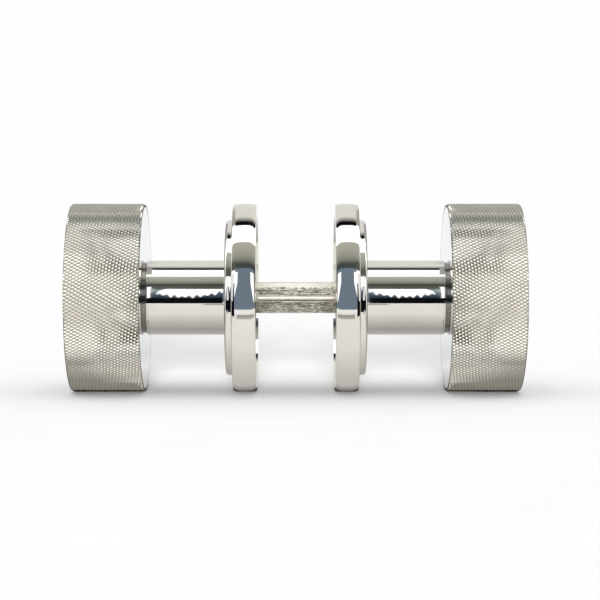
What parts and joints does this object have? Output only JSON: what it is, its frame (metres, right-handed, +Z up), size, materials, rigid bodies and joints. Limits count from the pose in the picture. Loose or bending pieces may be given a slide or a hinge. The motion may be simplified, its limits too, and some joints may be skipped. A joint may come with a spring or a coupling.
{
  "type": "mortice door knob set",
  "caption": "Two round knurled door knobs on polished necks and stepped round roses, joined by a square spindle.",
  "frame": {"origin": "middle of the spindle, on its axis, halfway between the roses", "axes": "+X along the spindle towards the right knob, +Z up, -Y towards the viewer"},
  "size_m": [0.1426, 0.06, 0.06],
  "materials": {
    "knurled_head": "polished nickel plate over brass, diamond knurl on the rim, mirror end faces",
    "polished_neck": "mirror polished nickel plate",
    "polished_rose": "mirror polished nickel plate",
    "satin_spindle": "cold drawn, unpolished, warm grey",
    "brass_plate": "machined, dull",
    "bright_steel": "bright zinc plated",
    "spring_steel": "phosphated spring steel",
    "black_steel": "black oxide",
    "nylon_bush": "natural nylon",
    "rubber_ring": "matt"
  },
  "bodies": {
    "spindle": {"spindle": "satin_spindle"},
    "right_knob": {"right_knob_head": "knurled_head", "right_neck": "polished_neck", "right_head_screw": "black_steel", "right_lock_pin": "bright_steel", "right_circlip": "spring_steel"},
    "right_grub": {"right_grub_screw": "black_steel"},
    "right_rose": {"right_backplate": "brass_plate", "right_bush": "nylon_bush", "right_grip_ring": "rubber_ring", "right_thrust_washer": "bright_steel", "right_retaining_washer": "bright_steel"},
    "right_cover": {"right_rose_cover": "polished_rose"},
    "left_knob": {"left_knob_head": "knurled_head", "left_neck": "polished_neck", "left_head_screw": "black_steel", "left_lock_pin": "bright_steel", "left_circlip": "spring_steel"},
    "left_grub": {"left_grub_screw": "black_steel"},
    "left_rose": {"left_backplate": "brass_plate", "left_bush": "nylon_bush", "left_grip_ring": "rubber_ring", "left_thrust_washer": "bright_steel", "left_retaining_washer": "bright_steel"},
    "left_cover": {"left_rose_cover": "polished_rose"}
  },
  "joints": [
    {"name": "right_knob_slide", "type": "slide", "parent": "spindle", "child": "right_knob", "axis": [1, 0, 0], "range_m": [0, 0.014]},
    {"name": "right_grub_travel", "type": "slide", "parent": "right_knob", "child": "right_grub", "axis": [0, 0.7193, -0.6947], "range_m": [0, 0.0008]},
    {"name": "right_rose_turn", "type": "hinge", "parent": "right_knob", "child": "right_rose", "pos_m": [0.0165, 0, 0], "axis": [1, 0, 0], "continuous": true},
    {"name": "right_cover_slide", "type": "slide", "parent": "right_rose", "child": "right_cover", "axis": [1, 0, 0], "range_m": [0, 0.022]},
    {"name": "left_knob_slide", "type": "slide", "parent": "spindle", "child": "left_knob", "axis": [-1, 0, 0], "range_m": [0, 0.014]},
    {"name": "left_grub_travel", "type": "slide", "parent": "left_knob", "child": "left_grub", "axis": [0, 0.7193, -0.6947], "range_m": [0, 0.0008]},
    {"name": "left_rose_turn", "type": "hinge", "parent": "left_knob", "child": "left_rose", "pos_m": [-0.0165, 0, 0], "axis": [-1, 0, 0], "continuous": true},
    {"name": "left_cover_slide", "type": "slide", "parent": "left_rose", "child": "left_cover", "axis": [-1, 0, 0], "range_m": [0, 0.022]}
  ]
}
